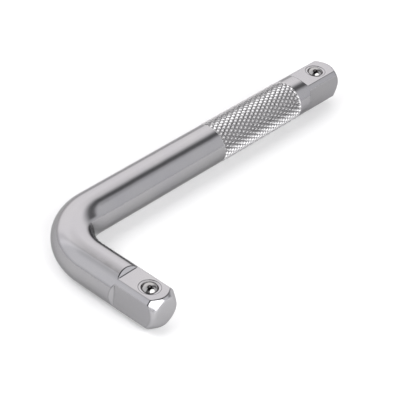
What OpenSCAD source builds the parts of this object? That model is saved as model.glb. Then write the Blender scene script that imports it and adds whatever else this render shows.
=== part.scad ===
// Bent drive handle: one steel bar turned through a right angle, with a square drive at both ends.
// Each square carries a sprung detent ball in its upper flat, held in by the staked mouth of its hole.
// Units are millimetres. The handle lies flat on the plane z = 0, with the long arm along +X and the
// short arm along -Y. The origin is under the middle of the handle's outline.

/* [Bar] */
// Diameter of the round bar
bar_d = 16; // [14.5:0.5:17.5]
// Overall length of the long arm, from the outer side of the short arm to the end face
long_arm_l = 164.5; // [130:0.5:260]
// Overall length of the short arm, from the outer side of the long arm to the end face
short_arm_l = 63.5; // [56:0.5:120]
// Radius of the bend, at the middle of the bar
bend_r = 20; // [14:0.5:26]

/* [Square drives] */
// Width of each square across its flats
drive_af = 12.7; // [12:0.05:13]
// Length of the long arm's square, from the foot of its shoulder to the end face
long_drive_l = 19.7; // [17:0.1:26]
// Length of the short arm's square, from the foot of its shoulder to the end face
short_drive_l = 18; // [15.5:0.1:26]
// How far each shoulder leans back along the bar while it climbs from the flat to the bar's surface
shoulder_run = 1.1; // [0.4:0.1:2.5]
// Diameter of the flat disc that is left at each end, inside the chamfer
end_face_d = 10.8; // [9:0.1:13]
// Length of the chamfer at each end
end_chamfer_l = 3; // [0.8:0.1:3.6]

/* [Knurl] */
// Length of the knurled grip band
knurl_l = 45.5; // [20:0.5:60]
// Length of plain bar between the band and the foot of the long arm's shoulder
neck_l = 6.8; // [4:0.1:12]
// Diameter over the crests of the knurl
knurl_d = 15.9; // [14:0.05:17.5]
// Depth of the knurl's grooves
knurl_depth = 0.8; // [0.3:0.05:1]
// Number of grooves round the bar in each direction
knurl_starts = 28; // [12:1:36]
// Rows of whole diamonds along the band, counted crest to crest
knurl_rows = 27; // [8:1:36]

/* [Detent balls] */
// Diameter of each ball
ball_d = 6.35; // [5.5:0.05:7]
// How far a ball stands proud of its flat
ball_proud = 1.4; // [0.9:0.05:1.6]
// Distance of the long arm's ball from its end face
long_ball_inset = 9.1; // [6.5:0.1:10]
// Distance of the short arm's ball from its end face
short_ball_inset = 7.9; // [6.3:0.1:9.5]
// Clearance round a ball in its hole, on the radius
ball_clearance = 0.05; // [0.02:0.01:0.1]
// Diameter of the staked mouth where it meets the flat
mouth_d = 7.86; // [7.5:0.01:8.6]
// Depth and width of the small step at the mouth's rim
mouth_step = 0.1; // [0.05:0.01:0.15]
// Depth of the staked ring at its inner edge, which the floor of the mouth slopes down to
ring_depth = 0.2; // [0.16:0.01:0.3]
// How far the ring's inner edge stands back from the lip under it
ring_lead = 0.16; // [0.1:0.01:0.25]
// Depth of the lip that holds the ball in
lip_depth = 0.5; // [0.36:0.01:0.6]
// Wall left between the bottom of a ball's hole and the flat below it
hole_floor = 1.7; // [1.2:0.1:2.5]

/* [Detent springs] */
// Wire diameter
spring_wire_d = 0.55; // [0.4:0.05:0.7]
// Outer diameter of the coil
spring_d = 5.6; // [4.6:0.1:5.8]
// Number of coils
spring_coils = 5; // [3:1:5]
// Play left between a spring and what it bears on
spring_play = 0.04; // [0.01:0.01:0.1]

/* [Hidden] */
$fn = 96;
chrome = [0.78, 0.77, 0.79];
bright_steel = [0.86, 0.86, 0.87];
spring_steel = [0.55, 0.56, 0.58];

bar_r = bar_d / 2;
flat_h = drive_af / 2;                       // height of a flat above the bar's axis
over = 1;                                    // how far a cutter runs past what it cuts
corner = [bar_r - long_arm_l / 2, short_arm_l / 2 - bar_r];   // where the two arms' axes cross
long_end = long_arm_l - bar_r;               // distances along each arm's axis, from that crossing
short_end = short_arm_l - bar_r;
long_step = long_end - long_drive_l;
short_step = short_end - short_drive_l;
knurl_end = long_step - neck_l;
knurl_start = knurl_end - knurl_l;

ball_r = ball_d / 2;
pocket_r = ball_r + ball_clearance;
flat_z = flat_h;                             // the upper flat, above the bar's axis
ball_z = flat_z + ball_proud - ball_r;
lip_z = flat_z - lip_depth;
lip_r = sqrt(pow(pocket_r, 2) - pow(lip_z - ball_z, 2));
ring_r = lip_r + ring_lead;
ring_z = flat_z - ring_depth;
// The pocket's wall leans in along the tangent of the ball's clearance sphere at the lip
lean_z = lip_z - (pocket_r - lip_r) * lip_r / (lip_z - ball_z);
hole_z = hole_floor - flat_h;

wire_r = spring_wire_d / 2;
coil_r = spring_d / 2 - wire_r;
spring_z0 = hole_z + wire_r + spring_play;
spring_z1 = ball_z - sqrt(pow(ball_r + wire_r + spring_play, 2) - pow(coil_r, 2));
spring_pitch = (spring_z1 - spring_z0) / spring_coils;
spring_gap = spring_pitch - spring_wire_d;   // least gap from one coil to the next, at rest
echo(least_gap_between_coils_mm = spring_gap);

// Places what is drawn along +Z from the crossing of the axes onto the long arm, its top side up
module on_long_arm() {
    translate([corner[0], corner[1], bar_r]) rotate([0, 90, 0]) rotate([0, 0, 180]) children();
}

// The same for the short arm
module on_short_arm() {
    translate([corner[0], corner[1], bar_r]) rotate([90, 0, 0]) rotate([0, 0, 90]) children();
}

// Half of the plain bar's arm, from the bend to its chamfered end
module arm(end) {
    straight = end - bend_r - end_chamfer_l;
    translate([0, 0, bend_r]) cylinder(r = bar_r, h = straight);
    translate([0, 0, bend_r + straight]) cylinder(r1 = bar_r, r2 = end_face_d / 2, h = end_chamfer_l);
}

// The quarter turn that joins the two arms
module bend() {
    translate([corner[0] + bend_r, corner[1] - bend_r, bar_r])
        rotate([0, 0, 90]) rotate_extrude(angle = 90) translate([bend_r, 0]) circle(r = bar_r);
}

// What is milled off one side of the bar: a flat that ends in a leaning shoulder
module flat_cut(step, end) {
    slope = shoulder_run / (bar_r - flat_h);
    top = bar_r + over;
    rotate([90, 0, 0]) translate([0, 0, -top]) linear_extrude(2 * top)
        polygon([[flat_h, step], [top, step - slope * (top - flat_h)], [top, end + over], [flat_h, end + over]]);
}

// All four flats of a square
module square_cut(step, end) {
    for (side = [0 : 3]) rotate([0, 0, 90 * side]) flat_cut(step, end);
}

// The blind hole for a spring and ball, with the lip that keeps the ball in and, above it, the shallow
// staked mouth: a nearly flat ring that ends in a small step up to the flat
module ball_hole() {
    mouth_r = mouth_d / 2;
    rotate_extrude() polygon([
        [0, hole_z], [pocket_r, hole_z], [pocket_r, lean_z], [lip_r, lip_z], [ring_r, ring_z],
        [mouth_r - mouth_step, flat_z - mouth_step], [mouth_r, flat_z], [mouth_r, flat_z + over],
        [0, flat_z + over]
    ]);
}

// Moves what is drawn about the Z axis to the long arm's ball, with z = 0 on the bar's axis
module at_long_ball() {
    translate([corner[0] + long_end - long_ball_inset, corner[1], bar_r]) children();
}

// The same for the short arm's ball
module at_short_ball() {
    translate([corner[0], corner[1] - short_end + short_ball_inset, bar_r]) children();
}

// A point on the bar at the given distance along it, angle round it and radius
function on_bar(z, angle, r) = [r * cos(angle), r * sin(angle), z];

// The knurled band: grooves at the root radius cross in a staggered lattice, and each diamond between
// them rises to a crest. Even rings hold crests where odd rings hold crossings, so one rule serves both.
module knurl_band() {
    n = 2 * knurl_starts;
    rings = knurl_rows + 1;
    crest_r = knurl_d / 2;
    root_r = crest_r - knurl_depth;
    points = concat(
        [for (i = [0 : rings - 1], j = [0 : n - 1])
            on_bar(i * knurl_l / (rings - 1), j * 360 / n, (i + j) % 2 == 0 ? crest_r : root_r)],
        [[0, 0, 0], [0, 0, knurl_l]]
    );
    at = function(i, j) i * n + (j + n) % n;
    // Around each crossing the four neighbours are crests, so every square of the grid is split by its roots
    sides = [for (i = [0 : rings - 2], j = [0 : n - 1]) each (i + j) % 2 == 0
        ? [[at(i, j), at(i + 1, j), at(i, j + 1)], [at(i, j + 1), at(i + 1, j), at(i + 1, j + 1)]]
        : [[at(i, j), at(i + 1, j), at(i + 1, j + 1)], [at(i, j), at(i + 1, j + 1), at(i, j + 1)]]];
    caps = [for (j = [0 : n - 1]) each [
        [rings * n, at(0, j), at(0, j + 1)],
        [rings * n + 1, at(rings - 1, j + 1), at(rings - 1, j)]]];
    polyhedron(points = points, faces = concat(sides, caps));
}

// The bent, milled and knurled bar with its two ball holes
module handle_bar() {
    color(chrome) difference() {
        union() {
            bend();
            on_short_arm() arm(short_end);
            on_long_arm() difference() {
                arm(long_end);
                translate([0, 0, knurl_start]) cylinder(r = bar_r + over, h = knurl_l);
            }
            on_long_arm() translate([0, 0, knurl_start]) knurl_band();
        }
        on_short_arm() square_cut(short_step, short_end);
        on_long_arm() square_cut(long_step, long_end);
        at_long_ball() ball_hole();
        at_short_ball() ball_hole();
    }
}

// A detent ball at rest against its lip
module ball() {
    color(bright_steel) translate([0, 0, ball_z]) sphere(r = ball_r);
}

module long_drive_ball() {
    at_long_ball() ball();
}

module short_drive_ball() {
    at_short_ball() ball();
}

// One coil spring: a round wire swept along a helix, from the bottom of the hole up to the ball
module spring() {
    steps = 10;
    sides = 6;
    rings = spring_coils * steps;
    climb = atan2(spring_pitch, 2 * PI * coil_r);
    points = [for (i = [0 : rings], k = [0 : sides - 1])
        let (turn = 360 * i / steps, out = wire_r * cos(360 * k / sides), up = wire_r * sin(360 * k / sides),
            z = spring_z0 + spring_pitch * i / steps)
        [(coil_r + out) * cos(turn) + up * sin(climb) * sin(turn),
         (coil_r + out) * sin(turn) - up * sin(climb) * cos(turn),
         z + up * cos(climb)]];
    sides_faces = [for (i = [0 : rings - 1], k = [0 : sides - 1])
        let (a = i * sides + k, b = i * sides + (k + 1) % sides)
        each [[a, b, b + sides], [a, b + sides, a + sides]]];
    ends = [for (k = [1 : sides - 2]) each [
        [0, k + 1, k], [rings * sides, rings * sides + k, rings * sides + k + 1]]];
    color(spring_steel) polyhedron(points = points, faces = concat(sides_faces, ends));
}

module long_drive_spring() {
    at_long_ball() spring();
}

module short_drive_spring() {
    at_short_ball() spring();
}

handle_bar();
long_drive_ball();
short_drive_ball();
long_drive_spring();
short_drive_spring();
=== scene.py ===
"""Bent drive handle: a plated steel bar turned through a right angle, with a square drive, a detent ball
and its spring at each end and a knurled grip on the long arm, in a small white studio."""

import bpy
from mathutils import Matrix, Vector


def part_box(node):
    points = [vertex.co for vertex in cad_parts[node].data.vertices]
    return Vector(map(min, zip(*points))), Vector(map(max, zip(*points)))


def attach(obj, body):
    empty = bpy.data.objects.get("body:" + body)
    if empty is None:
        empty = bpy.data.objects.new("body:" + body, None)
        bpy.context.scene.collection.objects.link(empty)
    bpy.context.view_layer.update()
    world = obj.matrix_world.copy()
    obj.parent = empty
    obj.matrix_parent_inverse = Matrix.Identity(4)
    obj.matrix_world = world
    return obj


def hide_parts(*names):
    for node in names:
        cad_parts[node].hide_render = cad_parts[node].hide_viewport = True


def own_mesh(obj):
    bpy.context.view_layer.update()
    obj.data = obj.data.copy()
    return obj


bl_info = {
    "name": "Bent drive handle",
    "version": (1, 0, 0),
    "blender": (4, 5, 0),
    "location": "3D View > Sidebar > Drive handle",
    "description": "Builds a bent steel handle with two square drives and their detent balls, and its studio",
    "category": "Object",
}

from math import cos, pi, radians, sin, sqrt

import bpy
import numpy as np
from bpy.props import FloatProperty, FloatVectorProperty, IntProperty, PointerProperty
from mathutils import Matrix, Vector

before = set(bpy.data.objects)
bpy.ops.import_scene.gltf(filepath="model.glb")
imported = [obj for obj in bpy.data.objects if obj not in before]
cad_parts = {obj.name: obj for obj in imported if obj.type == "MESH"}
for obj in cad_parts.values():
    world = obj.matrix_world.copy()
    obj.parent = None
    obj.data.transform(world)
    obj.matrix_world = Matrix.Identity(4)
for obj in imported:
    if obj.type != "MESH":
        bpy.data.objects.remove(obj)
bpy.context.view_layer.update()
BAR_LOW, BAR_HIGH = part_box("handle_bar")

# The mesh's columns round the bar: each eighth of a turn has a share on the flat, at its edge and past it
FLAT_COLUMNS = 16
MARGIN_COLUMNS = 1
EDGE_COLUMNS = 6
ROUND_COLUMNS = 5
COLUMNS = 8 * (FLAT_COLUMNS + MARGIN_COLUMNS + EDGE_COLUMNS + ROUND_COLUMNS)
# Rows of quads along a flat beside the ball's mouth
MOUTH_ROWS = 32
# Half the side of the square round a ball's mouth, in metres
MOUTH_HALF = 0.0043
# Rows and columns of the mesh in half a diamond of the knurl, of which 56 go round the bar
KNURL_STEP = COLUMNS // 56

# How far the corners of the bar's profile are rounded, in metres. The rim of the end face is rounded more
# on the flats, but not on the top one
FACE_CUT = 0.001
RIM_CUT = 0.0004
FLAT_RIM_CUT = 0.0006
SHOULDER_CUT = 0.00025
HOLE_CUTS = (0.00005, 0.00005, 0.00006, 0.00004, 0.0002, 0.0004)
# No rounding takes more than this share of the shorter line beside its corner
CORNER_SHARE = 0.38
HOLD_SHARE = 0.45
# The least climb of a shoulder, and the plain bar between it and the next row, in metres
LEAST_CLIMB = 0.00005
PAST_SHOULDER = 0.001
# Places of the rings on an end face, as shares of its radius
DISC_RINGS = (0.16, 0.4, 0.62, 0.8)
# Rows at a mouth's rim that get painted shade as a dark edge line, and how strong it is
RIM_SHADE_ROWS = 8
RIM_SHADE = 0.6

# Rows of the mesh on the plain bar beside the knurl, by their distance from it in metres
BESIDE_KNURL = (0.0001, 0.00025, 0.00045, 0.0007)
# How far out of square the band was rolled, in metres
KNURL_SKEW = 0.0007
# Share of a crest's height over which its blunting is soft, and the length of a run-out in half diamonds
CREST_SOFTNESS = 0.28
RUN_OUT = 0.5
# The part of the pit colour, grime and painted shade, that is taken off on the top and the
# bottom of the band, so the painted shade is darkest at the band's sides
PIT_SHADE_CUT = 0.75
# The numbers that each point of the bar carries for its material, among them its painted light and shade
MARKS = ("groove", "knurled", "milled", "painted_edge_shade")

# Edges that turn by more than this many degrees stay sharp
SHARP_ANGLE = 40.0

# Wall panels: middle, half width and softness as azimuths in degrees, and strength
BACK_WALL = (35, 49, 16, 2.0)
SIDE_WALLS = ((-48, 34, 7, 1.5), (140, 24, 9, 1.2), (-142, 22, 8, 0.7))
CAMERA_STAND = (-158, 74, 9, 0.9)
# Strength of the gaps between the panels, and of the walls' foot
WALL_GAPS = 0.28
WALL_FOOT = 1.12
# Heights in degrees between which the light changes, and what it changes to
UPPER_WALLS = (38, 62, 0.66)
CEILING = (58, 64, 0.1)
CEILING_PATCH = (76, 83, 0.6)
STAND_FOOT = (40, 46)
WALLS_START = (2, 12)

# Lamps: name, azimuth and elevation in degrees, distance, width and height in metres, and whether metal
# mirrors them
OVERHEAD_LAMP = ("overhead_lamp", -64.0, 56.0, 0.9, 0.5, 0.5, False)
KEY_LAMP = ("key_softbox", 192.0, 29.0, 0.9, 1.0, 0.94, True)

# The paper: half its side and how far it lies under the handle, in metres, and how much it glows
FLOOR_HALF = 0.6
FLOOR_DROP = 0.0002
PAPER_GLOW = 0.18

# The photograph's camera, as fitted to its outlines: focal length and width in pixels, the film's width in
# millimetres, its place in metres, and its yaw, pitch and roll in degrees
PHOTO_FOCAL = 1746.24
PHOTO_WIDTH = 400.0
FILM_WIDTH = 36.0
PHOTO_PLACE = (-0.41777, -0.31248, 0.38688)
PHOTO_TURN = (51.699, -36.703, -6.03)


def length_setting(name, description, default, low, high):
    """A length in metres that a user can change between low and high."""
    return FloatProperty(
        name=name, description=description, default=default, min=low, max=high, unit="LENGTH", precision=5)


def colour_setting(name, description, default):
    """A colour that a user can change."""
    return FloatVectorProperty(
        name=name, description=description, default=default, min=0.0, max=1.0, size=3, subtype="COLOR")


class BarSizes(bpy.types.PropertyGroup):
    """Sizes of the bar and of what is milled and rolled into it"""

    thickness: length_setting("Bar", "Diameter of the round bar", 0.016, 0.01, 0.03)
    bend_radius: length_setting("Bend", "Radius of the bend at the middle of the bar", 0.020, 0.014, 0.026)
    across_flats: length_setting("Across flats", "Width of each square drive", 0.0127, 0.012, 0.013)
    long_drive: length_setting(
        "Long arm's square", "Length of the square on the long arm, to the shoulder's foot", 0.0197, 0.017,
        0.026)
    short_drive: length_setting(
        "Short arm's square", "Length of the square on the short arm, to the shoulder's foot", 0.018,
        0.0155, 0.026)
    shoulder_run: length_setting(
        "Shoulder run", "How far a shoulder leans back along the bar", 0.0011, 0.0004, 0.0025)
    end_face: length_setting(
        "End face", "Diameter of the flat disc inside the end chamfer", 0.0108, 0.009, 0.013)
    end_chamfer: length_setting("End chamfer", "Length of the chamfer at each end", 0.003, 0.0008, 0.003)
    edge_break: length_setting(
        "Edge break", "How far the flats' long edges are rounded, on each side", 0.00025, 0.0001, 0.0005)


class KnurlSizes(bpy.types.PropertyGroup):
    """Sizes of the diamond knurl on the long arm"""

    band: length_setting("Band", "Length of the knurled band", 0.0455, 0.02, 0.06)
    neck: length_setting("Neck", "Plain bar between the band and the shoulder's foot", 0.0068, 0.004, 0.012)
    crest: length_setting("Crests", "Diameter over the knurl's crests", 0.0164, 0.014, 0.0175)
    depth: length_setting("Depth", "Depth of the knurl's grooves", 0.0008, 0.0003, 0.001)
    rows: IntProperty(
        name="Rows", description="Half diamonds along the band", default=27, min=8, max=36)
    blunting: FloatProperty(
        name="Blunting", description="Share of a crest's height that is worn flat", default=0.25, min=0.0,
        max=0.6, subtype="FACTOR")


class DetentSizes(bpy.types.PropertyGroup):
    """Sizes of the detent balls, their holes and their springs"""

    ball: length_setting("Ball", "Diameter of each ball", 0.00635, 0.0055, 0.007)
    proud: length_setting("Stand-out", "How far a ball stands out of its flat", 0.0014, 0.0009, 0.0016)
    long_inset: length_setting(
        "Long arm's inset", "From the long arm's end face to its ball", 0.0091, 0.0065, 0.01)
    short_inset: length_setting(
        "Short arm's inset", "From the short arm's end face to its ball", 0.0079, 0.0063, 0.0095)
    clearance: length_setting(
        "Clearance", "Room round a ball in its hole, on the radius", 0.00005, 0.00002, 0.0001)
    mouth: length_setting("Mouth", "Diameter of the staked mouth at the flat", 0.00786, 0.0075, 0.0086)
    mouth_step: length_setting(
        "Mouth step", "Depth and width of the step at the mouth's rim", 0.0001, 0.00005, 0.00015)
    ring: length_setting("Ring", "Inner diameter of the staked ring", 0.00625, 0.0061, 0.0066)
    ring_depth: length_setting(
        "Ring depth", "Depth of the staked ring at its inner edge", 0.0002, 0.00015, 0.0003)
    lip_depth: length_setting(
        "Lip depth", "Depth of the lip that holds the ball in", 0.0005, 0.00035, 0.0006)
    floor: length_setting(
        "Floor", "Wall between a hole's bottom and the flat below", 0.0017, 0.0012, 0.0025)
    wire: length_setting("Wire", "Thickness of the springs' wire", 0.00055, 0.0004, 0.0007)
    coil: length_setting("Coil", "Outer diameter of the springs", 0.0056, 0.0046, 0.0058)
    turns: IntProperty(name="Turns", description="Turns of each spring", default=5, min=3, max=5)
    play: length_setting("Play", "Play between a spring and what it bears on", 0.00004, 0.00001, 0.0001)


class FinishColours(bpy.types.PropertyGroup):
    """Colours of the metals and the floor"""

    plating: colour_setting("Plating", "Satin plating of the bar", (0.312, 0.308, 0.316))
    # Lighter than the plating: painted light that brightens the milled end faces and shoulders
    milled: colour_setting("Milled", "Plating on the milled end faces and shoulders", (0.39, 0.385, 0.395))
    # Lighter than the plating: painted light that brightens the knurl's facets
    rolled: colour_setting("Knurl", "Plating on the knurl", (0.49, 0.485, 0.49))
    # Grime, with painted shade, where the knurl's grooves cross
    pit_grime_and_shade: colour_setting("Pits", "Dirt where the knurl's grooves cross", (0.13, 0.125, 0.135))
    # Painted shade as dark lines along the shoulders and rims
    edge_shade_colour: colour_setting("Edge lines", "Dark lines along the shoulders and rims", (0.05, 0.05, 0.055))
    ball_steel: colour_setting("Ball steel", "Polished steel of the balls", (0.30, 0.295, 0.292))
    spring_steel: colour_setting("Spring steel", "Drawn wire of the springs", (0.30, 0.31, 0.33))
    floor: colour_setting("Floor", "White paper under the handle", (0.80, 0.80, 0.80))


class StudioSizes(bpy.types.PropertyGroup):
    """Strengths of the studio's light"""

    overhead: FloatProperty(
        name="Overhead", description="Power of the lamp high up on the camera's left", default=2.3,
        min=0.0, max=60.0, unit="POWER")
    key: FloatProperty(
        name="Key", description="Power of the softbox beside the camera", default=8.0, min=0.0, max=30.0,
        unit="POWER")
    surround: FloatProperty(
        name="Surround", description="Strength of the pale walls round the handle", default=1.0, min=0.0,
        max=3.0)


# Places that follow from the sizes


def derived():
    """The lengths along the bar and the heights in a ball's hole that follow from the named sizes."""
    bar, detent, knurl = sizes().bar, sizes().detent, sizes().knurl
    d = {"r": bar.thickness / 2, "flat": bar.across_flats / 2}
    d["long_end"] = BAR_HIGH.x - BAR_LOW.x - d["r"]
    d["short_end"] = BAR_HIGH.y - BAR_LOW.y - d["r"]
    d["corner"] = (BAR_LOW.x + d["r"], BAR_HIGH.y - d["r"])
    d["length"] = d["short_end"] + d["long_end"] - (2 - pi / 2) * bar.bend_radius
    d["knurl_end"] = d["length"] - bar.long_drive - knurl.neck
    d["ball_r"] = detent.ball / 2
    d["ball_z"] = d["flat"] + detent.proud - d["ball_r"]
    d["pocket_r"] = d["ball_r"] + detent.clearance
    d["lip_z"] = d["flat"] - detent.lip_depth
    d["lip_r"] = sqrt(d["pocket_r"] ** 2 - (d["lip_z"] - d["ball_z"]) ** 2)
    d["lean_z"] = d["lip_z"] - (d["pocket_r"] - d["lip_r"]) * d["lip_r"] / (d["lip_z"] - d["ball_z"])
    d["hole_z"] = detent.floor - d["flat"]
    return d


def sizes():
    return bpy.context.scene.drive_handle


# Mesh helpers


def soft_min(a, b, width):
    """The lower of a and b, less a rounding where they cross: the square of what |a - b| leaves of the
    width, over four widths."""
    left = np.maximum(width - np.abs(a - b), 0.0)
    return np.minimum(a, b) - left**2 / (4.0 * width)


def eased_corner(before, corner, after, cut, steps=4, hold=0.00005):
    """Rounds the corner of many profiles at once. Each curve is quadratic, from a point on the line before
    the corner to one on the line after it, pulled towards the corner: (1-t)^2 A + 2t(1-t) C + t^2 B. One
    more point on either side holds the straight parts straight. Points are (..., 2), and so is the result,
    with the points of a curve along the first axis."""
    rows = []
    sides = []
    for other in (before, after):
        away = other - corner
        reach = np.linalg.norm(away, axis=-1, keepdims=True)
        away = away / np.maximum(reach, 1e-9)
        near = np.minimum(cut, CORNER_SHARE * reach)
        held = np.minimum(near + hold, HOLD_SHARE * reach)
        sides.append((corner + away * near, corner + away * held))
    rows.append(sides[0][1])
    for t in np.linspace(0.0, 1.0, steps + 1):
        rows.append((1 - t) ** 2 * sides[0][0] + 2 * t * (1 - t) * corner + t**2 * sides[1][0])
    rows.append(sides[1][1])
    return np.stack(rows)


def between(a, b, count):
    """count points strictly between a and b, evenly spaced, along a new first axis."""
    t = np.arange(1, count + 1) / (count + 1)
    t = t.reshape((-1,) + (1,) * np.ndim(a))
    return a + (b - a) * t


def grid_quads(index):
    """The quads of a grid of vertex numbers, rows by columns, facing along row step times column step."""
    return np.stack([index[:-1, :-1], index[1:, :-1], index[1:, 1:], index[:-1, 1:]], -1).reshape(-1, 4)


def closed(index):
    """A grid of vertex numbers whose last column joins its first."""
    return np.concatenate([index, index[:, :1]], axis=1)


def new_piece(name, points, quads, triangles, material):
    """A mesh object at the origin, smooth but for the edges that turn by more than SHARP_ANGLE degrees."""
    mesh = bpy.data.meshes.new(name)
    faces = np.asarray(quads, int).tolist() + np.asarray(triangles, int).reshape(-1, 3).tolist()
    mesh.from_pydata(np.asarray(points, float).reshape(-1, 3).tolist(), [], faces)
    mesh.validate()
    mesh.shade_smooth()
    mesh.set_sharp_from_angle(angle=radians(SHARP_ANGLE))
    piece = bpy.data.objects.new(name, mesh)
    bpy.context.scene.collection.objects.link(piece)
    mesh.materials.append(material)
    return piece


# The bar


def drive_angles(d):
    """Angles of the columns round the bar where it is square, from the top of the bar towards the outer
    side of the bend. They crowd together at the flats' edges, where cos(angle) = flat / radius."""
    edge = np.arccos(d["flat"] / d["r"])
    soft = sizes().bar.edge_break / d["r"]
    mouth = np.arctan(MOUTH_HALF / d["flat"])
    eighth = np.concatenate([
        np.linspace(0.0, mouth, FLAT_COLUMNS, endpoint=False),
        np.linspace(mouth, edge - soft, MARGIN_COLUMNS, endpoint=False),
        np.linspace(edge - soft, edge + soft, EDGE_COLUMNS, endpoint=False),
        np.linspace(edge + soft, pi / 4, ROUND_COLUMNS, endpoint=False),
    ])
    quarter = np.concatenate([eighth, [pi / 4], (pi / 2 - eighth[1:])[::-1]])
    return (quarter + np.arange(4)[:, None] * pi / 2).ravel()


def section_radius(d, angles):
    """The square's radius at each angle: flat / cos(angle from the nearest flat's middle), but nowhere more
    than the bar's, and rounded where the two meet."""
    off = (angles + pi / 4) % (pi / 2) - pi / 4
    slant = d["flat"] / np.cos(off)
    width = d["r"] - d["flat"] / np.cos(np.arccos(d["flat"] / d["r"]) - sizes().bar.edge_break / d["r"])
    return soft_min(slant, np.full_like(slant, d["r"]), width), off


def drive_profile(d, angles, drive_length, inset):
    """Each column's profile from an end face to past the shoulder, as (distance from the end, radius). It
    is a line from the end face's middle over the chamfer, along the flat, up the leaning shoulder and on to
    the round bar, with its corners eased. Also gives the row where the mouth's rectangle starts, how
    milled each point is (rougher, and painted lighter) and how much painted edge shade it gets, from 0 to 1."""
    bar = sizes().bar
    radius, off = section_radius(d, angles)
    face_r = bar.end_face / 2
    slope = bar.end_chamfer / (d["r"] - face_r)
    lean = bar.shoulder_run / (d["r"] - d["flat"])
    zero = np.zeros_like(angles)
    centre = np.stack([zero, zero], -1)
    face = np.stack([zero, zero + face_r], -1)
    rim = np.stack([(radius - face_r) * slope, radius], -1)
    foot = np.stack([zero + drive_length, radius], -1)
    climb = np.maximum(lean * (d["r"] * np.cos(off) - d["flat"]), LEAST_CLIMB)
    arc = np.stack([drive_length + climb, zero + d["r"]], -1)
    clear = np.stack([zero + drive_length + bar.shoulder_run + PAST_SHOULDER, zero + d["r"]], -1)

    first, last = inset - MOUTH_HALF, inset + MOUTH_HALF
    flat_start = np.stack([zero + first, radius], -1)
    flat_stop = np.stack([zero + last, radius], -1)
    disc = centre + (face - centre) * np.array(DISC_RINGS)[:, None, None]
    at_face = eased_corner(centre, face, rim, FACE_CUT, 8)
    # 1 on the top flat and 0 on the others, and 1 on a flat's middle and 0 on the round corners
    upward = np.clip(3.0 * np.cos(angles) - 1.0, 0.0, 1.0)
    room = (d["r"] - radius) / (d["r"] - d["flat"])
    rim_cut = RIM_CUT + FLAT_RIM_CUT * room * (1 - upward)
    at_rim = eased_corner(face, rim, foot, rim_cut[:, None], 6)
    at_foot = eased_corner(rim, foot, arc, SHOULDER_CUT)
    at_arc = eased_corner(foot, arc, clear, SHOULDER_CUT)
    # Each part of the profile with how milled its rows are (rougher, and painted lighter) and how much
    #     # painted edge shade they get
    parts = [
        (disc, 1, 0),
        (at_face, 1, 0),
        (between(at_face[-1], at_rim[0], 2), 1, 0),
        (at_rim, [1, 1, 1, 1, 0.5, 0, 0, 0, 0], [0, 0, 0.2, 0.4, 0.4, 0.4, 0.2, 0, 0]),
        (between(at_rim[-1], flat_start, 1), 0, 0),
        (flat_start[None], 0, 0),
        (between(flat_start, flat_stop, MOUTH_ROWS - 1), 0, 0),
        (flat_stop[None], 0, 0),
        (between(flat_stop, at_foot[0], 2), 0, 0),
        (at_foot, [0, 0, 0.5, 1, 1, 1, 1], [0, 0.4, 1, 1, 1, 0.4, 0]),
        (between(at_foot[-1], at_arc[0], 1), 1, 0),
        (at_arc, [1, 1, 1, 0.5, 0, 0, 0], [0, 0.4, 1, 1, 1, 0.4, 0]),
        (clear[None], 0, 0),
    ]
    mouth_row = sum(len(p) for p, _, _ in parts[:5])
    profile = np.concatenate([p for p, _, _ in parts])
    milled = np.concatenate([np.broadcast_to(m, len(p)) for p, m, _ in parts])
    line = np.concatenate([np.broadcast_to(e, len(p)) for p, _, e in parts])
    # The shoulder's rows count only where there is a shoulder, so not on the round corners
    shouldered = np.clip((climb - 0.0001) / 0.0002, 0.0, 1.0)
    past_foot = (np.arange(len(milled)) > mouth_row)[:, None]
    milled = milled[:, None] * np.where(past_foot, shouldered, 1.0)
    # Painted edge shade: full on the top flat and weaker on the other flats
    line = line[:, None] * np.where(past_foot, shouldered, 1.0) * (0.3 + 0.7 * upward)
    return profile, mouth_row, milled, line


def knurl_height(i, j, rows, surface):
    """Height of the knurl from 0 in its grooves to 1 on its crests. i counts half diamonds along the bar and
    j round it. One set of grooves runs where i + j is odd and the other where i - j is odd, and each side of
    a groove rises evenly, so the height is the lower of the two triangle waves, with its crest blunted. At
    the band's two ends the crests and grooves run out: there the height goes evenly to the bar's surface."""
    rising = np.abs((i + j) % 2 - 1)
    falling = np.abs((i - j) % 2 - 1)
    height = np.minimum(rising, falling)
    worn = 1.0 - sizes().knurl.blunting
    height = soft_min(height / worn, np.ones_like(height), CREST_SOFTNESS)
    inside = np.clip(np.minimum(i, rows - i) / RUN_OUT, 0.0, 1.0)
    return surface + (height - surface) * inside


def knurl_pit(i, j):
    """1 where two grooves cross and 0 halfway to the next crossing: 1 less the higher of the two waves."""
    return 1 - np.maximum(np.abs((i + j) % 2 - 1), np.abs((i - j) % 2 - 1))


def along_bar(d, distance, angle, radius):
    """Points on the bar. The distance runs up the short arm's axis, round the bend and along the long arm's
    axis; the angle goes round that axis from the top towards the outer side of the bend."""
    bend = sizes().bar.bend_radius
    start = d["short_end"] - bend
    arc = bend * pi / 2
    turn = np.clip(distance - start, 0.0, arc) / bend
    outward_x, outward_y = -np.cos(turn), np.sin(turn)
    reach = bend + radius * np.sin(angle)
    x = d["corner"][0] + bend + reach * outward_x + np.maximum(distance - start - arc, 0.0)
    y = d["corner"][1] - bend + reach * outward_y + np.minimum(distance - start, 0.0)
    z = d["r"] + radius * np.cos(angle)
    return np.stack([x, y, z], -1)


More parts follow.
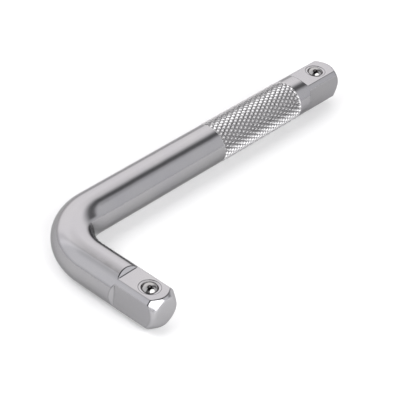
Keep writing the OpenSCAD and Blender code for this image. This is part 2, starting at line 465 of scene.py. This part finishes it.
def hole_profile(d):
    """Profile of a ball's hole as (radius, height above the bar's axis): down the step at the mouth's rim,
    in over the staked ring, down to the lip, out to the bore, down its wall and in across the bottom."""
    detent = sizes().detent
    mouth_r = detent.mouth / 2
    corners = np.array([
        [mouth_r + 0.0003, d["flat"]],
        [mouth_r, d["flat"]],
        [mouth_r - detent.mouth_step, d["flat"] - detent.mouth_step],
        [detent.ring / 2, d["flat"] - detent.ring_depth],
        [d["lip_r"], d["lip_z"]],
        [d["pocket_r"], d["lean_z"]],
        [d["pocket_r"], d["hole_z"]],
        [0.0, d["hole_z"]],
    ])
    parts = [corners[:1]]
    for k, cut in enumerate(HOLE_CUTS):
        parts.append(eased_corner(corners[k], corners[k + 1], corners[k + 2], cut, 4, 0.00002))
    parts.append(corners[-2] * [0.5, 1.0])
    return np.concatenate([p.reshape(-1, 2) for p in parts])


def mouth_patch(d, index, points, centre):
    """Fills the rectangle that is left open in a flat with the ball's hole. The rings keep the angles of the
    rectangle's outline about the hole's axis: a few slide in a straight line from the outline to the mouth,
    and the rest follow the hole's profile down to its bottom, where the last ring meets in one point. The
    last value says how much painted edge shade each new point gets: the rim of the mouth is painted as a
    dark line."""
    outline = np.concatenate([index[:-1, 0], index[-1, :-1], index[:0:-1, -1], index[0, :0:-1]])
    edge = points[outline]
    angle = np.arctan2(edge[:, 1] - centre[1], edge[:, 0] - centre[0])
    round_ = np.stack([np.cos(angle), np.sin(angle)], -1)
    profile = hole_profile(d)
    rim = np.concatenate([
        centre + profile[0, 0] * round_,
        np.full((len(angle), 1), d["r"] + profile[0, 1]),
    ], axis=1)
    slide = between(edge, rim, 3)
    rings = np.concatenate([
        centre + profile[:, :1, None] * round_,
        np.broadcast_to(d["r"] + profile[:, 1, None, None], (len(profile), len(angle), 1)),
    ], axis=2)
    rings = np.concatenate([slide, rings])
    bottom = np.array([[centre[0], centre[1], d["r"] + d["hole_z"]]])
    base = len(points)
    numbers = base + np.arange(rings.shape[0] * rings.shape[1]).reshape(rings.shape[:2])
    quads = grid_quads(closed(np.concatenate([outline[None], numbers])))
    last = closed(numbers[-1:])[0]
    tip = np.full(len(last) - 1, base + numbers.size)
    fan = np.stack([last[:-1], tip, last[1:]], -1)
    # Painted shade as a dark line round the mouth's rim
    shade = np.zeros(len(rings))
    shade[len(slide) + 1:len(slide) + 1 + RIM_SHADE_ROWS] = RIM_SHADE
    shade = np.append(np.repeat(shade, len(outline)), 0.0)
    return np.concatenate([points, rings.reshape(-1, 3), bottom]), quads, fan, shade


def bar_grid(d):
    """The whole bar as one grid of distance, angle and radius, from the short end to the long end. Also
    gives each point's marks, which are the numbers named in MARKS, the rows where the two mouths start and
    the first and the last row of the knurl."""
    bar, knurl, detent = sizes().bar, sizes().knurl, sizes().detent
    square = drive_angles(d)
    even = np.arange(COLUMNS) * 2 * pi / COLUMNS
    short, short_mouth, short_milled, short_edge_shade = drive_profile(
        d, square, bar.short_drive, detent.short_inset)
    long, long_mouth, long_milled, long_edge_shade = drive_profile(
        d, square, bar.long_drive, detent.long_inset)
    long, long_milled, long_edge_shade = long[::-1], long_milled[::-1], long_edge_shade[::-1]
    length = d["length"]
    start = d["short_end"] - bar.bend_radius
    arc_end = start + bar.bend_radius * pi / 2
    knurl_start = d["knurl_end"] - knurl.band
    lines = knurl.rows * KNURL_STEP

    # The rolled crests stand a little above the plain bar. Set lower, they would have it slope down to them
    beside = np.array(BESIDE_KNURL)
    proud = knurl.crest / 2 - d["r"]
    slope = max(-proud, 0.0) * (1 - beside / beside[-1]) ** 2
    plain_1 = np.concatenate([
        between(short[-1, 0, 0], start, 5),
        np.linspace(start, arc_end, 61),
        between(arc_end, knurl_start - beside[-1], 18),
        knurl_start - beside[::-1],
    ])
    band = np.linspace(knurl_start, d["knurl_end"], lines + 1)
    after = length - long[0, 0, 0]
    plain_2 = np.concatenate([
        d["knurl_end"] + beside,
        between(d["knurl_end"] + beside[-1], after, 7),
    ])
    drop_1 = np.zeros_like(plain_1)
    drop_1[-len(slope):] = slope[::-1]
    drop_2 = np.zeros_like(plain_2)
    drop_2[:len(slope)] = slope

    i, j = np.meshgrid(np.arange(lines + 1), np.arange(COLUMNS), indexing="ij")
    i, j = i / KNURL_STEP, j / KNURL_STEP
    height = knurl_height(i, j, knurl.rows, 1.0 - max(proud, 0.0) / knurl.depth)
    band_r = knurl.crest / 2 - knurl.depth * (1 - height)

    wide = np.ones((1, COLUMNS))
    distance = np.concatenate([
        short[:, :, 0], plain_1[:, None] * wide, band[:, None] * wide, plain_2[:, None] * wide,
        length - long[:, :, 0],
    ])
    radius = np.concatenate([
        short[:, :, 1], (d["r"] - drop_1)[:, None] * wide, band_r, (d["r"] - drop_2)[:, None] * wide,
        long[:, :, 1],
    ])
    # The columns slide from the squares' spacing to the knurl's even one on the plain bar before and after it
    near = distance[:, :1]
    rise = np.clip((near - arc_end) / (knurl_start - 0.001 - arc_end), 0.0, 1.0)
    fall = np.clip((near - d["knurl_end"] - beside[-1]) / (after - d["knurl_end"] - beside[-1]), 0.0, 1.0)
    share = rise * (1 - fall)
    share = share * share * (3 - 2 * share)
    angle = square + (even - square) * share
    # The band was rolled slightly out of square
    distance = distance - KNURL_SKEW * np.cos(angle) * share
    first = len(short) + len(plain_1)
    marks = {name: np.zeros_like(distance) for name in MARKS}
    # The pit colour is painted lighter on the band's top and bottom: painted shade, darkest at its sides
    pit_shade_weight = 1.0 - PIT_SHADE_CUT * np.cos(even) ** 2
    marks["groove"][first:first + lines + 1] = knurl_pit(i, j) * pit_shade_weight
    marks["knurled"][first:first + lines + 1] = 1.0
    marks["milled"][:len(short)] = short_milled
    marks["milled"][-len(long):] = long_milled
    marks["painted_edge_shade"][:len(short)] = short_edge_shade
    marks["painted_edge_shade"][-len(long):] = long_edge_shade
    rows = {
        "short_mouth": short_mouth,
        "long_mouth": len(distance) - 1 - long_mouth - MOUTH_ROWS,
        "knurl": (first, first + lines),
    }
    return distance, angle, radius, marks, rows


def bar_mesh(d):
    """The bar's points, quads and triangles, and its surface attributes."""
    distance, angle, radius, marks, rows = bar_grid(d)
    points = along_bar(d, distance, angle, radius)
    count = len(distance)
    # Columns are turned so that the top of the bar is in the middle of the grid and not at its seam
    half = COLUMNS // 2
    index = np.roll(np.arange(count * COLUMNS).reshape(count, COLUMNS), half, axis=1)
    points = points.reshape(-1, 3)
    ring = closed(index)

    first, last = rows["knurl"]
    left, right = half - FLAT_COLUMNS, half + FLAT_COLUMNS
    keep = np.ones((count - 1, COLUMNS), bool)
    keep[first:last] = False
    for start in (rows["short_mouth"], rows["long_mouth"]):
        keep[start:start + MOUTH_ROWS, left:right] = False
    quads = [grid_quads(ring).reshape(count - 1, COLUMNS, 4)[keep]]

    # In the knurl each quad is split along the groove's direction, which alternates from cell to cell
    a, b = ring[first:last, :-1], ring[first + 1:last + 1, :-1]
    c, e = ring[first + 1:last + 1, 1:], ring[first:last, 1:]
    cell_i = (np.arange(last - first) // KNURL_STEP)[:, None]
    cell_j = (((np.arange(COLUMNS) - half) % COLUMNS) // KNURL_STEP)[None]
    even = ((cell_i + cell_j) % 2 == 0)[..., None]
    one = np.where(even, np.stack([a, b, e], -1), np.stack([a, b, c], -1))
    two = np.where(even, np.stack([e, b, c], -1), np.stack([a, c, e], -1))
    triangles = [one.reshape(-1, 3), two.reshape(-1, 3)]

    # Each end face closes in one point
    for row, tip, outward in ((0, 0.0, False), (count - 1, d["length"], True)):
        centre = along_bar(d, np.array([tip]), np.array([0.0]), np.array([0.0]))
        points = np.concatenate([points, centre])
        edge = ring[row]
        tips = np.full(COLUMNS, len(points) - 1)
        fan = [edge[:-1], tips, edge[1:]] if outward else [edge[1:], tips, edge[:-1]]
        triangles.append(np.stack(fan, -1))

    places = {
        "short_mouth": (d["corner"][0], d["corner"][1] - d["short_end"] + sizes().detent.short_inset),
        "long_mouth": (d["corner"][0] + d["long_end"] - sizes().detent.long_inset, d["corner"][1]),
    }
    shades = [np.zeros(2)]
    for name, place in places.items():
        start = rows[name]
        patch = index[start:start + MOUTH_ROWS + 1, left:right + 1]
        points, more, fan, shade = mouth_patch(d, patch, points, np.array(place))
        quads.append(more)
        triangles.append(fan)
        shades.append(shade)
    shades = np.concatenate(shades)
    marks = {name: np.concatenate([values.ravel(), 0 * shades]) for name, values in marks.items()}
    # The dark line painted round each mouth's rim joins the painted edge shade
    marks["painted_edge_shade"][-len(shades):] = shades
    # The middles of the two end faces are as milled, and painted as light, as the rest of them
    marks["milled"][count * COLUMNS:count * COLUMNS + 2] = 1.0
    return points, np.concatenate(quads), np.concatenate(triangles), marks


def add_attribute(piece, name, values):
    """A number on each point of a piece, for its material."""
    attribute = piece.data.attributes.new(name, "FLOAT", "POINT")
    attribute.data.foreach_set("value", np.asarray(values, np.float32))


# Balls and springs


def ball_mesh(radius, place, around=96, down=48):
    """A sphere: x, y = r sin(v) (cos(u), sin(u)) and z = r cos(v), with u round it and v from pole to pole,
    and both poles closed by a ring of triangles."""
    v, u = np.meshgrid(np.arange(1, down) * pi / down, np.arange(around) * 2 * pi / around, indexing="ij")
    shell = np.stack([np.sin(v) * np.cos(u), np.sin(v) * np.sin(u), np.cos(v)], -1)
    poles = np.array([[0.0, 0.0, 1.0], [0.0, 0.0, -1.0]])
    points = np.concatenate([shell.reshape(-1, 3), poles]) * radius + place
    index = closed(np.arange(shell.shape[0] * around).reshape(-1, around))
    top, bottom = len(points) - 2, len(points) - 1
    fans = [
        np.stack([index[0, :-1], index[0, 1:], np.full(around, top)], -1),
        np.stack([index[-1, 1:], index[-1, :-1], np.full(around, bottom)], -1),
    ]
    return points, grid_quads(index), np.concatenate(fans)


def spring_mesh(coil_r, wire_r, low, high, turns, place, steps=48, sides=16):
    """A coil spring: a circle of the wire's radius carried along a helix, square to it. The helix climbs one
    wire's thickness in its first and last closed turn and evenly in between."""
    t = np.linspace(0.0, 1.0, turns * steps + 1)
    turn = t * turns
    # The closed part at each end, in turns, its climb in one turn, and the steps over which the climb changes
    closed_turn = 0.8
    closed_climb = 2.12 * wire_r
    blend = 7
    active = (high - low - 2 * closed_turn * closed_climb) / (turns - 2 * closed_turn)
    rate = np.where((turn < closed_turn) | (turn > turns - closed_turn), closed_climb, active)
    window = np.ones(2 * blend + 1) / (2 * blend + 1)
    rate = np.convolve(np.pad(rate, blend, mode="edge"), window, mode="valid")
    z = np.concatenate([[0.0], np.cumsum((rate[1:] + rate[:-1]) / 2)])
    z = low + (high - low) * z / z[-1]
    u = turn * 2 * pi
    axis = np.stack([coil_r * np.cos(u), coil_r * np.sin(u), z], -1)
    tangent = np.gradient(axis, axis=0)
    tangent /= np.linalg.norm(tangent, axis=1, keepdims=True)
    out = np.stack([np.cos(u), np.sin(u), np.zeros_like(u)], -1)
    side = np.cross(tangent, out)
    w = np.arange(sides) * 2 * pi / sides
    ring = np.cos(w)[:, None] * out[:, None] + np.sin(w)[:, None] * side[:, None]
    tube = axis[:, None] + wire_r * ring
    points = np.concatenate([tube.reshape(-1, 3), axis[:1], axis[-1:]]) + place
    index = closed(np.arange(len(axis) * sides).reshape(-1, sides))
    start, stop = len(points) - 2, len(points) - 1
    fans = [
        np.stack([index[0, 1:], index[0, :-1], np.full(sides, start)], -1),
        np.stack([index[-1, :-1], index[-1, 1:], np.full(sides, stop)], -1),
    ]
    return points, grid_quads(index), np.concatenate(fans)


# Materials


def new_material(name):
    """A material, its node tree and its Principled shader."""
    material = bpy.data.materials.new(name)
    material.use_nodes = True
    tree = material.node_tree
    shader = next(n for n in tree.nodes if n.type == "BSDF_PRINCIPLED")
    return material, tree, shader


def add_node(tree, kind, inputs=(), **settings):
    """A node of a kind with its settings. Each input is a number, a colour or another node's output."""
    node = tree.nodes.new(kind)
    for key, value in settings.items():
        setattr(node, key, value)
    for name, value in dict(inputs).items():
        if isinstance(value, bpy.types.NodeSocket):
            tree.links.new(value, node.inputs[name])
        else:
            node.inputs[name].default_value = value
    return node


def object_places(tree):
    return add_node(tree, "ShaderNodeTexCoord").outputs["Object"]


def remap(tree, value, low, high, to_low, to_high, smooth=False):
    """The value's range low to high turned into to_low to to_high, and held there outside it."""
    kind = "SMOOTHSTEP" if smooth else "LINEAR"
    node = add_node(tree, "ShaderNodeMapRange", {
        "Value": value, "From Min": low, "From Max": high, "To Min": to_low, "To Max": to_high,
    }, interpolation_type=kind)
    return node.outputs["Result"]


def maths(tree, operation, a, b=0.0):
    node = add_node(tree, "ShaderNodeMath", {0: a, 1: b}, operation=operation)
    return node.outputs[0]


def noise(tree, places, scale, detail=2.0, distortion=0.0):
    """A noise texture's value. The scale is in waves to the metre."""
    return add_node(tree, "ShaderNodeTexNoise", {
        "Vector": places, "Scale": scale, "Detail": detail, "Distortion": distortion,
    }).outputs["Fac"]


def mixed(tree, factor, a, b):
    """Colour a where the factor is 0 and b where it is 1. A colour is three numbers or an output."""
    a, b = (c if isinstance(c, bpy.types.NodeSocket) else (*c, 1.0) for c in (a, b))
    node = add_node(tree, "ShaderNodeMix", {"Factor": factor, "A": a, "B": b}, data_type="RGBA")
    return node.outputs["Result"]


def tinted(colour, shares):
    """A colour with each of its three numbers times its share."""
    return tuple(c * share for c, share in zip(colour, shares))


def add_bumps(tree, shader, layers):
    """Bumps on top of one another, each with its height, its strength and its distance in metres."""
    below = {}
    for height, strength, distance in layers:
        node = add_node(tree, "ShaderNodeBump", {
            "Height": height, "Strength": strength, "Distance": distance, **below})
        below = {"Normal": node.outputs["Normal"]}
    tree.links.new(below["Normal"], shader.inputs["Normal"])


def plating_material():
    """Satin plating over a forged and polished bar: a slow waviness under the plating, fine polishing
    grain, a slightly uneven sheen, rougher metal where it is milled or knurled with painted light that
    makes it lighter there, grime and painted shade where the knurl's grooves cross, darkest at the band's
    sides, and painted shade as dark lines along the shoulders and rims."""
    colours = sizes().colours
    material, tree, shader = new_material("satin_plating")
    places = object_places(tree)
    groove, band, milled, line = [
        add_node(tree, "ShaderNodeAttribute", attribute_name=name).outputs["Fac"] for name in MARKS]

    tint = remap(tree, noise(tree, places, 90.0, 3.0), 0.3, 0.7, 0.0, 1.0)
    duller = tinted(colours.plating, (0.975, 0.975, 0.985))
    colour = mixed(tree, tint, duller, tinted(colours.plating, (1.02, 1.02, 1.01)))
    # Milled faces painted lighter than the rest of the plating: painted light
    colour = mixed(tree, milled, colour, colours.milled)
    # The knurl painted lighter than the plating: painted light
    colour = mixed(tree, band, colour, colours.rolled)
    # Grime and painted shade where the knurl's grooves cross, darkest on the band's sides
    colour = mixed(tree, remap(tree, groove, 0.5, 1.0, 0.0, 0.9, True), colour, colours.pit_grime_and_shade)
    # Painted shade as dark lines along the shoulders and rims
    colour = mixed(tree, maths(tree, "MULTIPLY", line, 0.85), colour, colours.edge_shade_colour)
    tree.links.new(colour, shader.inputs["Base Color"])

    rough = remap(tree, noise(tree, places, 700.0, 4.0), 0.25, 0.75, 0.11, 0.16)
    for share, rougher in ((band, 0.25), (milled, 0.08)):
        rough = maths(tree, "ADD", rough, maths(tree, "MULTIPLY", share, rougher))
    tree.links.new(rough, shader.inputs["Roughness"])
    shader.inputs["Metallic"].default_value = 1.0
    shader.inputs["Specular Tint"].default_value = (0.6, 0.6, 0.6, 1.0)

    waves, grain = noise(tree, places, 130.0, 1.0), noise(tree, places, 2600.0, 3.0)
    add_bumps(tree, shader, ((waves, 0.16, 0.0004), (grain, 0.05, 0.00005)))
    return material


def ball_material():
    """Polished bearing steel with hair-thin handling marks and a faint haze."""
    steel = sizes().colours.ball_steel
    material, tree, shader = new_material("polished_ball_steel")
    places = object_places(tree)
    haze = noise(tree, places, 900.0)
    tree.links.new(remap(tree, haze, 0.3, 0.7, 0.04, 0.075), shader.inputs["Roughness"])
    colour = mixed(tree, haze, tinted(steel, (0.97, 0.97, 0.97)), steel)
    tree.links.new(colour, shader.inputs["Base Color"])
    shader.inputs["Metallic"].default_value = 1.0
    shader.inputs["Specular Tint"].default_value = (0.6, 0.6, 0.6, 1.0)
    marks = noise(tree, places, 1500.0, distortion=2.0)
    add_bumps(tree, shader, ((marks, 0.02, 0.00002),))
    return material


def spring_material():
    """Drawn spring wire: grey steel with fine draw marks and an oily, uneven sheen."""
    steel = sizes().colours.spring_steel
    material, tree, shader = new_material("drawn_spring_wire")
    marks = noise(tree, object_places(tree), 2200.0, 3.0)
    colour = mixed(tree, marks, tinted(steel, (0.8, 0.8, 0.8)), steel)
    tree.links.new(colour, shader.inputs["Base Color"])
    tree.links.new(remap(tree, marks, 0.3, 0.7, 0.25, 0.4), shader.inputs["Roughness"])
    shader.inputs["Metallic"].default_value = 1.0
    add_bumps(tree, shader, ((marks, 0.1, 0.00002),))
    return material


def floor_material():
    """Smooth white paper, which glows a little where the camera or a mirroring surface sees it."""
    paper = sizes().colours.floor
    material, tree, shader = new_material("white_paper")
    fibre = noise(tree, object_places(tree), 40.0)
    colour = mixed(tree, fibre, tinted(paper, (0.995, 0.995, 0.995)), paper)
    tree.links.new(colour, shader.inputs["Base Color"])
    ray = add_node(tree, "ShaderNodeLightPath").outputs
    seen = maths(tree, "MAXIMUM", ray["Is Camera Ray"], ray["Is Glossy Ray"])
    seen = maths(tree, "MAXIMUM", seen, ray["Is Transmission Ray"])
    tree.links.new(maths(tree, "MULTIPLY", seen, PAPER_GLOW), shader.inputs["Emission Strength"])
    shader.inputs["Emission Color"].default_value = (1.0, 1.0, 1.0, 1.0)
    shader.inputs["Roughness"].default_value = 0.9
    shader.inputs["Specular IOR Level"].default_value = 0.1
    return material


# Studio


def panel_share(tree, azimuth, middle, half, soft):
    """1 inside a wall panel, fading to 0 past its sides, also where it crosses the azimuth of 180 degrees.
    The middle, half width and softness are in degrees, the azimuth itself in radians."""
    off = maths(tree, "ABSOLUTE", maths(tree, "SUBTRACT", azimuth, radians(middle)))
    off = maths(tree, "SUBTRACT", pi, maths(tree, "ABSOLUTE", maths(tree, "SUBTRACT", off, pi)))
    return remap(tree, off, radians(half - soft), radians(half + soft), 1.0, 0.0, True)


def by_height(tree, height, low, high, below, above, smooth=True):
    """One number below a height and another above a second one. Heights are in degrees."""
    return remap(tree, height, radians(low), radians(high), below, above, smooth)


def build_surround():
    """The pale walls round the handle: a bright one behind it, three more round it and dim gaps between
    them. Above is a dark ceiling with a pale patch straight over the handle, and over the camera's own side
    the dark upper part of its stand. Near the floor the walls are evenly white."""
    world = bpy.data.worlds.new("pale_walls")
    bpy.context.scene.world = world
    world.use_nodes = True
    tree = world.node_tree
    back = next(n for n in tree.nodes if n.type == "BACKGROUND")
    way = add_node(tree, "ShaderNodeTexCoord").outputs["Generated"]
    parts = add_node(tree, "ShaderNodeSeparateXYZ", {0: way}).outputs
    azimuth = maths(tree, "ARCTAN2", parts["X"], parts["Y"])
    height = maths(tree, "ARCSINE", parts["Z"])

    *panel, strength = BACK_WALL
    back_share = panel_share(tree, azimuth, *panel)
    walls = maths(tree, "MULTIPLY", back_share, strength - WALL_GAPS)
    for *panel, strength in SIDE_WALLS:
        share = maths(tree, "MULTIPLY", panel_share(tree, azimuth, *panel), strength - WALL_GAPS)
        walls = maths(tree, "ADD", walls, share)
    walls = maths(tree, "ADD", walls, WALL_GAPS)
    low, high, factor = UPPER_WALLS
    walls = maths(tree, "MULTIPLY", walls, by_height(tree, height, low, high, 1.0, factor, False))
    low, high, factor = CEILING
    walls = maths(tree, "MULTIPLY", walls, by_height(tree, height, low, high, 1.0, factor))
    low, high, strength = CEILING_PATCH
    walls = maths(tree, "ADD", walls, by_height(tree, height, low, high, 0.0, strength))
    *panel, darkness = CAMERA_STAND
    stand = by_height(tree, height, *STAND_FOOT, 0.0, darkness, False)
    stand = maths(tree, "MULTIPLY", panel_share(tree, azimuth, *panel), stand)
    walls = maths(tree, "MULTIPLY", walls, maths(tree, "SUBTRACT", 1.0, stand))
    foot = by_height(tree, height, *WALLS_START, 1.0, 0.0)
    evened = add_node(tree, "ShaderNodeMix", {"Factor": foot, "A": walls, "B": WALL_FOOT}).outputs["Result"]
    strength = maths(tree, "MULTIPLY", evened, sizes().studio.surround)
    tree.links.new(strength, back.inputs["Strength"])
    tint = mixed(tree, back_share, (0.99, 0.99, 1.02), (1.01, 0.99, 1.0))
    tree.links.new(tint, back.inputs["Color"])


def direction(azimuth, elevation):
    """Unit vector for an azimuth from +Y towards +X and an elevation, in degrees."""
    a, e = radians(azimuth), radians(elevation)
    return Vector((sin(a) * cos(e), cos(a) * cos(e), sin(e)))


def add_lamp(name, azimuth, elevation, distance, width, height, glossy, power):
    """An oval area lamp that points at the handle. Where glossy is false, metal doesn't mirror it."""
    lamp = bpy.data.lights.new(name, "AREA")
    lamp.shape = "ELLIPSE"
    lamp.size = width
    lamp.size_y = height
    lamp.energy = power
    holder = bpy.data.objects.new(name, lamp)
    away = direction(azimuth, elevation)
    holder.location = away * distance
    holder.rotation_euler = away.to_track_quat("Z", "Y").to_euler()
    holder.visible_camera = False
    holder.visible_glossy = glossy
    bpy.context.scene.collection.objects.link(holder)


def add_camera():
    """The photograph's view: from beyond the short arm's end, looking down over its outer side."""
    camera = bpy.data.cameras.new("photo_view")
    camera.sensor_width = FILM_WIDTH
    camera.lens = FILM_WIDTH * PHOTO_FOCAL / PHOTO_WIDTH
    camera.clip_start = 0.01
    camera.clip_end = 20.0
    yaw, pitch, roll = (radians(angle) for angle in PHOTO_TURN)
    ahead = Vector((sin(yaw) * cos(pitch), cos(yaw) * cos(pitch), sin(pitch)))
    level_right = Vector((cos(yaw), -sin(yaw), 0.0))
    level_down = ahead.cross(level_right)
    right = cos(roll) * level_right + sin(roll) * level_down
    down = -sin(roll) * level_right + cos(roll) * level_down
    turn = Matrix((right, -down, -ahead)).transposed().to_4x4()
    holder = bpy.data.objects.new("photo_view", camera)
    holder.matrix_world = Matrix.Translation(PHOTO_PLACE) @ turn
    bpy.context.scene.collection.objects.link(holder)
    bpy.context.scene.camera = holder


# Operators


class HANDLE_OT_bar(bpy.types.Operator):
    """Build the bent, milled and knurled bar with its two ball holes"""

    bl_idname = "drive_handle.bar"
    bl_label = "Build bar"

    def execute(self, context):
        points, quads, triangles, marks = bar_mesh(derived())
        piece = new_piece("bent_bar", points, quads, triangles, plating_material())
        for name, values in marks.items():
            add_attribute(piece, name, values)
        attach(piece, "bar")
        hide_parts("handle_bar")
        return {"FINISHED"}


class HANDLE_OT_balls(bpy.types.Operator):
    """Build the two detent balls"""

    bl_idname = "drive_handle.balls"
    bl_label = "Build balls"

    def execute(self, context):
        d = derived()
        material = ball_material()
        for arm in ("long", "short"):
            low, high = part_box(arm + "_drive_ball")
            points, quads, fans = ball_mesh(d["ball_r"], np.array((low + high) / 2))
            piece = new_piece(arm + "_detent_ball", points, quads, fans, material)
            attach(piece, arm + "_ball")
            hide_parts(arm + "_drive_ball")
        return {"FINISHED"}


class HANDLE_OT_springs(bpy.types.Operator):
    """Build the two springs that push the balls out"""

    bl_idname = "drive_handle.springs"
    bl_label = "Build springs"

    def execute(self, context):
        d = derived()
        detent = sizes().detent
        material = spring_material()
        wire_r = detent.wire / 2
        coil_r = detent.coil / 2 - wire_r
        low = d["r"] + d["hole_z"] + wire_r + detent.play
        reach = d["ball_r"] + wire_r + detent.play
        high = d["r"] + d["ball_z"] - sqrt(reach**2 - coil_r**2)
        for arm in ("long", "short"):
            ball_low, ball_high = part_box(arm + "_drive_ball")
            middle = (ball_low + ball_high) / 2
            place = np.array([middle.x, middle.y, 0.0])
            points, quads, fans = spring_mesh(coil_r, wire_r, low, high, detent.turns, place)
            piece = new_piece(arm + "_detent_spring", points, quads, fans, material)
            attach(piece, "bar")
            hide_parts(arm + "_drive_spring")
            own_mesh(piece)
        return {"FINISHED"}


class HANDLE_OT_studio(bpy.types.Operator):
    """Build the floor, the walls' light, the lamps and the camera"""

    bl_idname = "drive_handle.studio"
    bl_label = "Build studio"

    def execute(self, context):
        studio = sizes().studio
        signs = ((-1, -1), (1, -1), (1, 1), (-1, 1))
        corners = [(x * FLOOR_HALF, y * FLOOR_HALF, -FLOOR_DROP) for x, y in signs]
        floor = new_piece("paper_floor", corners, [(0, 1, 2, 3)], (), floor_material())
        build_surround()
        add_lamp(*OVERHEAD_LAMP, studio.overhead)
        add_lamp(*KEY_LAMP, studio.key)
        add_camera()
        context.scene.view_settings.view_transform = "Standard"
        return {"FINISHED"}


class HANDLE_PT_panel(bpy.types.Panel):
    """Lists the handle's sizes and the steps that build it"""

    bl_label = "Drive handle"
    bl_idname = "HANDLE_PT_panel"
    bl_space_type = "VIEW_3D"
    bl_region_type = "UI"
    bl_category = "Drive handle"

    def draw(self, context):
        settings = context.scene.drive_handle
        for group, steps in (
            (settings.bar, ("drive_handle.bar",)),
            (settings.knurl, ()),
            (settings.detent, ("drive_handle.balls", "drive_handle.springs")),
            (settings.colours, ()),
            (settings.studio, ("drive_handle.studio",)),
        ):
            box = self.layout.box()
            for name in group.__annotations__:
                box.prop(group, name)
            for step in steps:
                box.operator(step)


class HandleSettings(bpy.types.PropertyGroup):
    """All the handle's sizes and colours"""

    bar: PointerProperty(type=BarSizes, name="Bar", description="Sizes of the bar")
    knurl: PointerProperty(type=KnurlSizes, name="Knurl", description="Sizes of the knurl")
    detent: PointerProperty(type=DetentSizes, name="Detents", description="Sizes of the balls and springs")
    colours: PointerProperty(type=FinishColours, name="Colours", description="Colours of the finishes")
    studio: PointerProperty(type=StudioSizes, name="Studio", description="Strengths of the light")


CLASSES = (
    BarSizes, KnurlSizes, DetentSizes, FinishColours, StudioSizes, HandleSettings,
    HANDLE_OT_bar, HANDLE_OT_balls, HANDLE_OT_springs, HANDLE_OT_studio, HANDLE_PT_panel,
)


def register():
    for kind in CLASSES:
        bpy.utils.register_class(kind)
    bpy.types.Scene.drive_handle = PointerProperty(type=HandleSettings)


def unregister():
    del bpy.types.Scene.drive_handle
    for kind in reversed(CLASSES):
        bpy.utils.unregister_class(kind)


def main():
    register()
    bpy.ops.drive_handle.bar()
    bpy.ops.drive_handle.balls()
    bpy.ops.drive_handle.springs()
    bpy.ops.drive_handle.studio()
    bpy.context.view_layer.update()


if __name__ == "__main__":
    main()
